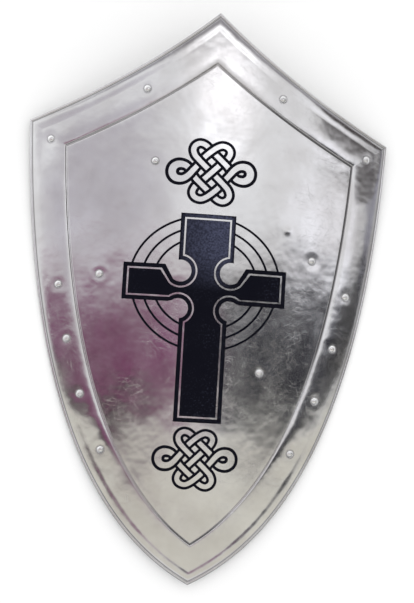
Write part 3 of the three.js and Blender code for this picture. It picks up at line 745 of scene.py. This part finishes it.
def new_mesh(name, places, faces, normals=None, slots=None, materials=(), marks=None):
    """A mesh object in the shield's laid-down place, with smooth faces and its marks."""
    turn = np.array(lay_down.to_3x3())
    mesh = bpy.data.meshes.new(name)
    mesh.from_pydata((np.asarray(places) @ turn.T + np.array(lay_down.translation)).tolist(), [], faces)
    for material in materials:
        mesh.materials.append(material)
    if slots is not None:
        mesh.polygons.foreach_set("material_index", slots)
    mesh.shade_smooth()
    if marks is not None:
        mesh.attributes.new("marks", "FLOAT", "POINT").data.foreach_set("value", marks)
    if normals is not None:
        mesh.normals_split_custom_set_from_vertices((np.asarray(normals) @ turn.T).tolist())
    mesh.update()
    return new_object(name, mesh)


def feed(tree, socket, value):
    """Give a socket a plain value, or link another node's output to it."""
    if isinstance(value, bpy.types.NodeSocket):
        tree.links.new(value, socket)
    else:
        socket.default_value = value


def add_node(tree, kind, **values):
    """A shader node with its settings and its sockets set by name."""
    node = tree.nodes.new("ShaderNode" + kind)
    for name, value in values.items():
        if name in node.inputs:
            feed(tree, node.inputs[name], value)
        else:
            setattr(node, name, value)
    return node


def combine(tree, operation, *terms):
    """A Math node's result, for sockets or plain numbers."""
    node = add_node(tree, "Math", operation=operation)
    for socket, term in zip(node.inputs, terms):
        feed(tree, socket, term)
    return node.outputs["Value"]


def value_range(tree, source, low, high, to_low=0.0, to_high=1.0):
    """A socket's value moved from one range to another."""
    ends = {"From Min": low, "From Max": high, "To Min": to_low, "To Max": to_high}
    return add_node(tree, "MapRange", Value=source, **ends).outputs["Result"]


def noise(tree, place, scale, detail=2.0, roughness=0.5):
    node = add_node(tree, "TexNoise", Vector=place, Scale=scale, Detail=detail, Roughness=roughness)
    return node.outputs["Fac"]


def object_place(tree):
    return add_node(tree, "TexCoord").outputs["Object"]


def blend(tree, factor, first, second):
    """A mix of two colours, each a socket or plain red, green and blue."""
    ends = [c if isinstance(c, bpy.types.NodeSocket) else (*c, 1) for c in (first, second)]
    node = add_node(tree, "Mix", data_type="RGBA", Factor=factor, A=ends[0], B=ends[1])
    return node.outputs["Result"]


def node_group(name, inputs, outputs):
    """An empty shader node group with number sockets, and its inner inputs and outputs."""
    group = bpy.data.node_groups.new(name, "ShaderNodeTree")
    for socket, value in inputs.items():
        made = group.interface.new_socket(socket, in_out="INPUT", socket_type="NodeSocketFloat")
        made.default_value = value
    for socket in outputs:
        group.interface.new_socket(socket, in_out="OUTPUT", socket_type="NodeSocketFloat")
    return group, group.nodes.new("NodeGroupInput").outputs, group.nodes.new("NodeGroupOutput").inputs


def new_material(name):
    """A new material, its node tree and its Principled shader's sockets."""
    material = bpy.data.materials.new(name)
    material.use_nodes = True
    return material, material.node_tree, material.node_tree.nodes["Principled BSDF"].inputs


# Fine scratches: short thin lines in five directions, thinned out in patches, on every steel piece
SCRATCHES = ((8, 46.0, 0.68), (41, 54.0, 0.68), (77, 40.0, 0.67), (118, 50.0, 0.68), (151, 60.0, 0.68))
SCRATCH_SLIMNESS = 34
scratches, scratch_in, scratch_out = node_group("fine scratches", {"Density": 0.5}, ["Mask"])
scratch_place = object_place(scratches)
mask = 0.0
for degrees, length, cut_off in SCRATCHES:
    turned = add_node(scratches, "VectorRotate", rotation_type="Z_AXIS", Vector=scratch_place)
    turned.inputs["Angle"].default_value = radians(degrees)
    stretched = add_node(scratches, "VectorMath", operation="MULTIPLY")
    stretched.inputs[1].default_value = (length, length * SCRATCH_SLIMNESS, length)
    feed(scratches, stretched.inputs[0], turned.outputs["Vector"])
    grain = noise(scratches, stretched.outputs["Vector"], 1.0, 1.0, 0.4)
    mask = combine(scratches, "MAXIMUM", mask, value_range(scratches, grain, cut_off, cut_off + 0.06))
patches = value_range(scratches, noise(scratches, scratch_place, 26.0), 0.35, 0.65)
mask = combine(scratches, "MULTIPLY", mask, patches)
feed(scratches, scratch_out["Mask"], combine(scratches, "MULTIPLY", mask, scratch_in["Density"]))

# Hand-polish blotches: soft changes of shine left by the buffing wheel, and small dimples under it
DIMPLE_SHARE = 4.5
BLOTCH_SCALE = 9.0
polish, _, polish_out = node_group("polish blotches", {}, ["Soft", "Streaks", "Relief"])
polish_place = object_place(polish)
streak_aim = add_node(polish, "Mapping", Vector=polish_place, Scale=(3.2, 1.3, 1.0))
streaks = noise(polish, streak_aim.outputs["Vector"], BLOTCH_SCALE, 5.0, 0.65)
dimples = noise(polish, polish_place, 75.0, 1.0)
feed(polish, polish_out["Soft"], noise(polish, polish_place, BLOTCH_SCALE, 4.0, 0.6))
feed(polish, polish_out["Streaks"], streaks)
feed(polish, polish_out["Relief"], combine(polish, "MULTIPLY_ADD", dimples, DIMPLE_SHARE, streaks))

# Painted shade in the mesh's marks: how much dark covers the steel, what metal still shows, how dull
shade_group, _, shade_out = node_group("painted shade", {}, ["Cover", "Metal", "Dulling"])
shade_marks = add_node(shade_group, "Attribute", attribute_name="marks").outputs["Fac"]
feed(shade_group, shade_out["Cover"], shade_marks)
feed(shade_group, shade_out["Metal"], value_range(shade_group, shade_marks, 0.0, 1.0, 1.0, 0.4))
feed(shade_group, shade_out["Dulling"], combine(shade_group, "MULTIPLY", shade_marks, 0.3))
# Colour of the painted shade
PAINTED_SHADE_COLOUR = (0.035, 0.033, 0.036)
SCRATCH_ROUGHNESS = 0.16
SCRATCH_DEPTH = -0.5


def polished_steel(name, light, dark, smooth, rough, density):
    """Bare polished steel: blotches and scratches in colour, shine and relief, painted shade in its marks."""
    material, tree, shader = new_material(name)
    blotches = add_node(tree, "Group", node_tree=polish).outputs
    scored = add_node(tree, "Group", node_tree=scratches, Density=density).outputs["Mask"]
    shaded = add_node(tree, "Group", node_tree=shade_group).outputs
    bare = blend(tree, value_range(tree, blotches["Soft"], 0.38, 0.64), dark, light)
    shine = value_range(tree, blotches["Streaks"], 0.3, 0.7, smooth, rough)
    shine = combine(tree, "MULTIPLY_ADD", scored, SCRATCH_ROUGHNESS, shine)
    height = combine(tree, "MULTIPLY_ADD", scored, SCRATCH_DEPTH, blotches["Relief"])
    bump = add_node(tree, "Bump", Strength=0.08, Distance=0.0004, Height=height)
    feed(tree, shader["Base Color"], blend(tree, shaded["Cover"], bare, PAINTED_SHADE_COLOUR))
    feed(tree, shader["Metallic"], shaded["Metal"])
    feed(tree, shader["Roughness"], combine(tree, "ADD", shaded["Dulling"], shine))
    feed(tree, shader["Normal"], bump.outputs["Normal"])
    return material


steel = polished_steel("polished steel", (0.86, 0.86, 0.88), (0.70, 0.685, 0.69), 0.11, 0.18, 0.7)

# Black filling: thin enamel in the etched areas, slightly uneven, with steel dust showing through
BLACK = (0.0030, 0.0032, 0.0075)
DUSTY_BLACK = (0.020, 0.022, 0.036)
PALER_BLACK = (0.055, 0.060, 0.102)
filling, tree, shader = new_material("black filling")
filling_place = object_place(tree)
speckle = noise(tree, filling_place, 430.0, 3.0)
cloud = noise(tree, filling_place, 22.0, 4.0)
clouded = value_range(tree, cloud, 0.4, 0.65)
dusting = combine(tree, "MULTIPLY", value_range(tree, speckle, 0.55, 0.75), clouded)
dusty = blend(tree, dusting, BLACK, DUSTY_BLACK)
# The black is paler towards the top of the cross's upper arm and towards the right, by the marks
paler_share = add_node(tree, "Attribute", attribute_name="marks").outputs["Fac"]
paler_share = combine(tree, "MULTIPLY", paler_share, value_range(tree, speckle, 0.35, 0.65, 0.35, 1.0))
feed(tree, shader["Base Color"], blend(tree, paler_share, dusty, PALER_BLACK))
feed(tree, shader["Roughness"], value_range(tree, cloud, 0.3, 0.7, 0.34, 0.5))
shader["Specular IOR Level"].default_value = 0.05

plate_piece = new_mesh(
    "steel_plate", np.vstack(plate.places), plate.faces, np.vstack(plate.normals), plate.slots,
    (steel, filling), np.concatenate(plate.marks),
)
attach(plate_piece, "root")
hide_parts("shield_plate")

# Rivets: domed steel rivets, set from the face and peened over behind. Twelve run along the
# border, and four in the field hold the straps.
HEAD_RADIUS = 0.0045
HEAD_HEIGHT = 0.0024
HEAD_ROUNDING = 1.15
HEAD_UNDERSIDE = 0.0002
HEAD_EDGE = (0.97, 0.9)  # in head radii and undersides
SHANK_RADIUS = 0.0022
TAIL_RADIUS = 0.0033
TAIL_HEIGHT = 0.0012
TAIL_PROFILE = ((0.96, 0), (1, 0.3), (0.86, 0.75), (0.5, 0.97), (0, 1))  # in radii and heights
RIVET_STEPS = 40
WEAR = (0.012, 0.008, 0.03)  # of the head's outline, in two and three lobes, and of the tail's
WEAR_ROOM = 1.02
GAP = 0.0003
STRAP_THICKNESS = 0.003
# Rivet steel: the plate's steel with a paler colour, a painted highlight for the bright rivet heads
rivet_steel_painted_bright = polished_steel("rivet steel painted bright", (0.95, 0.95, 0.96), (0.84, 0.84, 0.85), 0.22, 0.32, 0.5)


def rivet(name, node, spot, seat, back, seed):
    """A domed head with a soft edge, a shank, and a hammered tail with facets."""
    first, second, third = np.random.default_rng(seed).uniform(0, 2 * pi, 3)
    tail_top = back - seat
    profile = [(0.0, HEAD_HEIGHT)]
    for angle in np.linspace(pi / 2, 0, 12)[1:]:
        profile.append((HEAD_RADIUS * cos(angle), HEAD_HEIGHT * sin(angle) ** HEAD_ROUNDING))
    profile += [(HEAD_RADIUS * HEAD_EDGE[0], -HEAD_UNDERSIDE * HEAD_EDGE[1]), (SHANK_RADIUS, -HEAD_UNDERSIDE)]
    profile.append((SHANK_RADIUS, tail_top))
    tail_row = len(profile)
    profile += [(TAIL_RADIUS * wide, tail_top - TAIL_HEIGHT * deep) for wide, deep in TAIL_PROFILE]
    places = []
    for row, (radius, height) in enumerate(profile):
        for angle in full_turn(RIVET_STEPS):
            worn = 1 + WEAR[0] * sin(2 * angle + first) + WEAR[1] * sin(3 * angle + second)
            if row >= tail_row:
                worn -= WEAR[2] * abs(sin(2.5 * angle + third))
            reach = radius * worn / WEAR_ROOM
            places.append((reach * cos(angle), reach * sin(angle), height))
    places = turn_with_bend(spot[0], places) + bend([[*spot, seat]])
    piece = new_mesh(name, places, loop_faces(len(profile), RIVET_STEPS), materials=(rivet_steel_painted_bright,))
    piece.modifiers.new("weld", "WELD").merge_threshold = 1e-6
    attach(piece, "root")
    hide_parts(node)


def seat_height(spot, inset):
    """Height of the dished sheet around a rivet's head."""
    around = spot + circle(HEAD_RADIUS, 12)
    return float(border_height(inset) + relief(around, np.full(len(around), inset)).mean())


for number, (node, spot) in enumerate(border_rivets.items()):
    seat = seat_height(spot, RIVET_INSET)
    rivet("steel_" + node, node, spot, THICKNESS + seat, seat - 2 * GAP, number)
for number, (node, spot) in enumerate(strap_rivets.items()):
    seat = seat_height(spot, BORDER_WIDTH * 2)
    rivet("steel_" + node, node, spot, THICKNESS + seat, -STRAP_THICKNESS - 2 * GAP, 100 + number)

# Straps: two bands of dark brown leather on the back, cut with round ends, stitched along both
# edges with waxed thread, and held by the field rivets. They hang in a slack arch.
STRAP_WIDTH = 0.032
TAB = STRAP_WIDTH / 2
STRAP_SQUARENESS = 0.35
STRAP_LEAST_HALF = 0.0012
STRAP_FLATNESS = 0.98
STRAP_STATIONS = 61
STRAP_END_STATIONS = 9
STRAP_RING_STEPS = 28
STITCH_PITCH = 0.005
STITCH_HALF_LENGTH = 0.0016
STITCH_RADIUS = 0.00032
STITCH_TAPER = (0.0018, 0.15)  # reach of the round taper, and the least of it that stays
STITCH_SINK = 0.00012
STITCH_FROM_EDGE = 0.0035
STITCH_FROM_END = 0.004
DARK_LEATHER = (0.028, 0.013, 0.007)
LIGHT_LEATHER = (0.085, 0.042, 0.022)
DARK_THREAD = (0.20, 0.14, 0.08)
LIGHT_THREAD = (0.42, 0.32, 0.20)

leather, tree, shader = new_material("strap leather")
leather_place = object_place(tree)
pores = add_node(tree, "TexVoronoi", Scale=650.0, Vector=leather_place).outputs["Distance"]
tone = noise(tree, leather_place, 60.0, 5.0)
hide = blend(tree, value_range(tree, tone, 0.3, 0.7), DARK_LEATHER, LIGHT_LEATHER)
grained = add_node(tree, "Bump", Strength=0.35, Distance=0.0002, Height=pores)
feed(tree, shader["Base Color"], hide)
feed(tree, shader["Roughness"], value_range(tree, tone, 0.3, 0.7, 0.52, 0.72))
feed(tree, shader["Normal"], grained.outputs["Normal"])

thread, tree, shader = new_material("waxed thread")
twist = noise(tree, object_place(tree), 1400.0)
feed(tree, shader["Base Color"], blend(tree, twist, DARK_THREAD, LIGHT_THREAD))
shader["Roughness"].default_value = 0.6


def strap_face(place, arch):
    """Height of the strap's upper face along its length: flat tabs and a slack arch between them."""
    share = np.clip(np.abs(place) / (STRAP_SPAN / 2 - TAB), 0, 1)
    return -GAP - arch * (1 + np.cos(pi * share)) / 2


def strap_half_width(place):
    beyond = np.clip(np.abs(place) - STRAP_SPAN / 2, 0, TAB)
    return max(float(np.sqrt(np.clip(TAB ** 2 - beyond ** 2, 0, None))), STRAP_LEAST_HALF)


def strap_to_sheet(strap, places):
    """Points given along, across and below a strap, on the bent sheet."""
    run = np.array([sin(STRAP_TILT), cos(STRAP_TILT)])
    aside = np.array([run[1], -run[0]])
    flat = np.array(strap[:2]) + places[:, :1] * run + places[:, 1:2] * aside
    return bend(np.column_stack([flat, places[:, 2]]))


def squared(wave):
    """A sine or cosine pressed towards a square's sides."""
    return np.sign(wave) * np.abs(wave) ** STRAP_SQUARENESS


for strap_name, strap in STRAPS.items():
    ends = STRAP_SPAN / 2 + TAB * np.cos(np.linspace(0, pi / 2, STRAP_END_STATIONS))
    middle = np.linspace(-STRAP_SPAN / 2, STRAP_SPAN / 2, STRAP_STATIONS)[1:-1]
    stations = np.concatenate([-ends, middle, ends[::-1]])
    ring = full_turn(STRAP_RING_STEPS)
    rows = []
    for place in stations:
        aside = squared(np.cos(ring)) * strap_half_width(place)
        rise = (squared(np.sin(ring)) * STRAP_FLATNESS - 1) * STRAP_THICKNESS / 2
        rows.append(np.column_stack([np.full(len(ring), place), aside, strap_face(place, strap[2]) + rise]))
    faces = loop_faces(len(stations), len(ring), capped=True)
    leather_name = f"leather_strap_{strap_name}"
    band_piece = new_mesh(leather_name, strap_to_sheet(strap, np.vstack(rows)), faces, materials=(leather,))
    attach(band_piece, "root")
    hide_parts(f"strap_{strap_name}")

    stitches, stitch_faces = [], []
    steps = np.linspace(-STITCH_HALF_LENGTH, STITCH_HALF_LENGTH, 5)
    turn = full_turn(6)
    last_stitch = STRAP_SPAN / 2 - STITCH_FROM_END
    for edge in (-1, 1):
        for place in np.arange(-last_stitch, last_stitch, STITCH_PITCH):
            for side, depth in ((1, 0), (-1, STRAP_THICKNESS)):
                stitch_faces += loop_faces(len(steps), len(turn), len(stitches), capped=True)
                for step in steps:
                    thick = STITCH_RADIUS * sqrt(max(STITCH_TAPER[1], 1 - (step / STITCH_TAPER[0]) ** 2))
                    centre = strap_face(place + step, strap[2]) - depth - side * STITCH_SINK
                    for t in turn:
                        aside = edge * (TAB - STITCH_FROM_EDGE) + thick * cos(t)
                        stitches.append((place + step, aside, centre + thick * sin(t)))
    stitch_places = strap_to_sheet(strap, np.array(stitches))
    stitch_piece = new_mesh(f"strap_stitches_{strap_name}", stitch_places, stitch_faces, materials=(thread,))
    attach(stitch_piece, "root")


def mix_to_surface(tree, factor, first, second):
    """A mix of two shaders, sent to the material's output."""
    mix = add_node(tree, "MixShader", Fac=factor)
    feed(tree, mix.inputs[1], first)
    feed(tree, mix.inputs[2], second)
    feed(tree, tree.nodes["Material Output"].inputs["Surface"], mix.outputs["Shader"])


# Floor: a plain pale surface that the shield lies on. It is seen from above only, so that the
# shield's back can be looked at from below.
FLOOR_REACH = 6.0
floor_mesh = bpy.data.meshes.new("floor")
floor_corners = [(x * FLOOR_REACH, y * FLOOR_REACH, 0) for x, y in ((-1, -1), (1, -1), (1, 1), (-1, 1))]
floor_mesh.from_pydata(floor_corners, [], [(0, 1, 2, 3)])
floor = new_object("floor", floor_mesh)
floor_finish, tree, shader = new_material("pale floor")
shader["Base Color"].default_value = (0.86, 0.86, 0.86, 1)
shader["Roughness"].default_value = 0.9
underneath = add_node(tree, "NewGeometry").outputs["Backfacing"]
painted = tree.nodes["Principled BSDF"].outputs["BSDF"]
unseen = add_node(tree, "BsdfTransparent").outputs["BSDF"]
mix_to_surface(tree, underneath, painted, unseen)
floor_mesh.materials.append(floor_finish)

# Camera: the photograph's view, looking down almost square on the face
CAMERA_DISTANCE = 1.400
CAMERA_YAW = radians(5.072)
CAMERA_PITCH = radians(-3.689)
CAMERA_ROLL = radians(-3.357)
CAMERA_SLIDE = (-0.00324, 0.00875)
FOCAL_PIXELS = 1130.7
PHOTO_HEIGHT = 603
camera_data = bpy.data.cameras.new("camera")
camera_data.sensor_fit = "VERTICAL"
camera_data.sensor_height = 36
camera_data.sensor_width = 36
camera_data.lens = camera_data.sensor_height * FOCAL_PIXELS / PHOTO_HEIGHT
camera = new_object("camera", camera_data)
bpy.context.scene.camera = camera
sheet_to_camera = (
    Matrix.Translation((CAMERA_SLIDE[0], CAMERA_SLIDE[1], -CAMERA_DISTANCE))
    @ Matrix.Rotation(CAMERA_ROLL, 4, "Z")
    @ Matrix.Rotation(CAMERA_PITCH, 4, "X")
    @ Matrix.Rotation(CAMERA_YAW, 4, "Y")
)
camera.matrix_world = lay_down @ sheet_to_camera.inverted()
bpy.context.view_layer.update()

# Light: a soft studio sky, and cards that the polished sheet mirrors. The sheet sees a dimmer sky
# than the floor, so that the floor stays pale; it is bright low at the top, dark low at the foot.
# A card is set by the spot of the sheet that shows it, and only mirrors see it.
CEILING = 2.5
CARD_STEP = 0.01
CARD_SQUARENESS = 3.2
CARD_RINGS = 9
CARD_STEPS = 40
FLOOR_SKY = 1.22
SKY_TOP = 0.80
SKY_LOW_LEFT = 0.80
SKY_LOW_RIGHT = 0.36
SKY_FORWARD = 0.55
SKY_DARKEST = 0.06
SKY_BRIGHTEST = 1.15

world = bpy.data.worlds.new("studio")
bpy.context.scene.world = world
world.use_nodes = True
tree = world.node_tree
sky = tree.nodes["Background"].inputs


def sky_mix(factor, first, second):
    return add_node(tree, "Mix", Factor=factor, A=first, B=second).outputs["Result"]


direction = add_node(tree, "TexCoord").outputs["Generated"]
parts = add_node(tree, "SeparateXYZ", Vector=direction).outputs
sideways = value_range(tree, parts["X"], -0.8, 0.8, SKY_LOW_LEFT, SKY_LOW_RIGHT)
forward = value_range(tree, parts["Y"], -0.5, 0.6, -SKY_FORWARD, SKY_FORWARD)
low = combine(tree, "ADD", sideways, forward)
low = value_range(tree, low, SKY_DARKEST, SKY_BRIGHTEST, SKY_DARKEST, SKY_BRIGHTEST)
seen = add_node(tree, "LightPath").outputs
for_mirrors = sky_mix(value_range(tree, parts["Z"], 0.25, 0.80), low, SKY_TOP)
unseen_sky = sky_mix(seen["Is Glossy Ray"], FLOOR_SKY, for_mirrors)
feed(tree, sky["Strength"], sky_mix(seen["Is Camera Ray"], unseen_sky, 1.0))
sky["Color"].default_value = (1, 1, 1, 1)


def mirrored(across, along, ceiling):
    """The ceiling spot that the smooth sheet shows the camera at a flat spot."""
    angle = across / BEND_RADIUS
    spot = lay_down @ Vector(bend([[across, along, THICKNESS]])[0])
    normal = (lay_down.to_3x3() @ Vector((sin(angle), 0, cos(angle)))).normalized()
    look = (spot - camera.matrix_world.translation).normalized()
    way = look - 2 * look.dot(normal) * normal
    return spot + way * ((ceiling - spot.z) / way.z)


cards = []


def card(name, across, along, half_across, half_along, colour, solid=0.45, turn_degrees=0.0):
    """A soft-edged glowing card over the spot of the sheet that mirrors it, above earlier ones."""
    ceiling = CEILING + CARD_STEP * len(cards)
    turn = radians(turn_degrees)
    places, covers = [], []
    for share in np.linspace(0, 1, CARD_RINGS + 1):
        for angle in full_turn(CARD_STEPS):
            power = abs(cos(angle)) ** CARD_SQUARENESS + abs(sin(angle)) ** CARD_SQUARENESS
            reach = share * power ** (-1 / CARD_SQUARENESS)
            x, y = half_across * reach * cos(angle), half_along * reach * sin(angle)
            spot = (x * cos(turn) - y * sin(turn), x * sin(turn) + y * cos(turn))
            places.append(mirrored(across + spot[0], along + spot[1], ceiling))
            fade = min(max((1 - share) / (1 - solid), 0), 1)
            covers.append(fade * fade * (3 - 2 * fade))
    mesh = bpy.data.meshes.new("card_" + name)
    mesh.from_pydata(places, [], loop_faces(CARD_RINGS + 1, CARD_STEPS, flipped=True))
    mesh.attributes.new("cover", "FLOAT", "POINT").data.foreach_set("value", covers)
    piece = new_object("card_" + name, mesh)
    material, tree, _ = new_material("card_" + name)
    covered = add_node(tree, "Attribute", attribute_name="cover").outputs["Fac"]
    clear = add_node(tree, "BsdfTransparent").outputs["BSDF"]
    glow = add_node(tree, "Emission", Color=(*colour, 1)).outputs["Emission"]
    mix_to_surface(tree, covered, clear, glow)
    tree.nodes.remove(tree.nodes["Principled BSDF"])
    mesh.materials.append(material)
    piece.visible_camera = False
    piece.visible_diffuse = False
    piece.visible_shadow = False
    cards.append(piece)


card("window", 0.015, 0.258, 0.060, 0.105, (1.70, 1.70, 1.734), 0.15)
card("brown", 0.210, 0.290, 0.080, 0.122, (0.022, 0.013, 0.013), 0.78)
card("plum_foot", -0.150, -0.161, 0.132, 0.042, (0.010, 0.008, 0.008), 0.45, 6)
card("plum_deep", -0.095, -0.090, 0.085, 0.055, (0.17, 0.035, 0.105), 0.2)
card("plum", -0.125, -0.080, 0.158, 0.114, (0.22, 0.090, 0.165), 0.68, 5)
card("olive_foot", 0.105, -0.150, 0.085, 0.022, (0.045, 0.045, 0.038), 0.3, 8)
card("dark_right", 0.217, -0.05, 0.064, 0.12, (0.010, 0.009, 0.010), 0.66, -8)
card("blue_grey", 0.101, -0.065, 0.128, 0.112, (0.006, 0.006, 0.013), 0.76, 4)
card("beige", 0.0, -0.36, 0.34, 0.21, (0.68, 0.66, 0.58), 0.7)
card("grey_left", -0.14, 0.13, 0.13, 0.13, (0.53, 0.51, 0.55), 0.3)
card("grey_right", 0.250, 0.100, 0.043, 0.15, (0.34, 0.34, 0.39), 0.4)
card("pale_right", 0.140, 0.08, 0.065, 0.12, (1.08, 1.08, 1.12), 0.2)
card("dark_above", 0.02, 0.48, 0.30, 0.17, (0.30, 0.29, 0.31), 0.5)
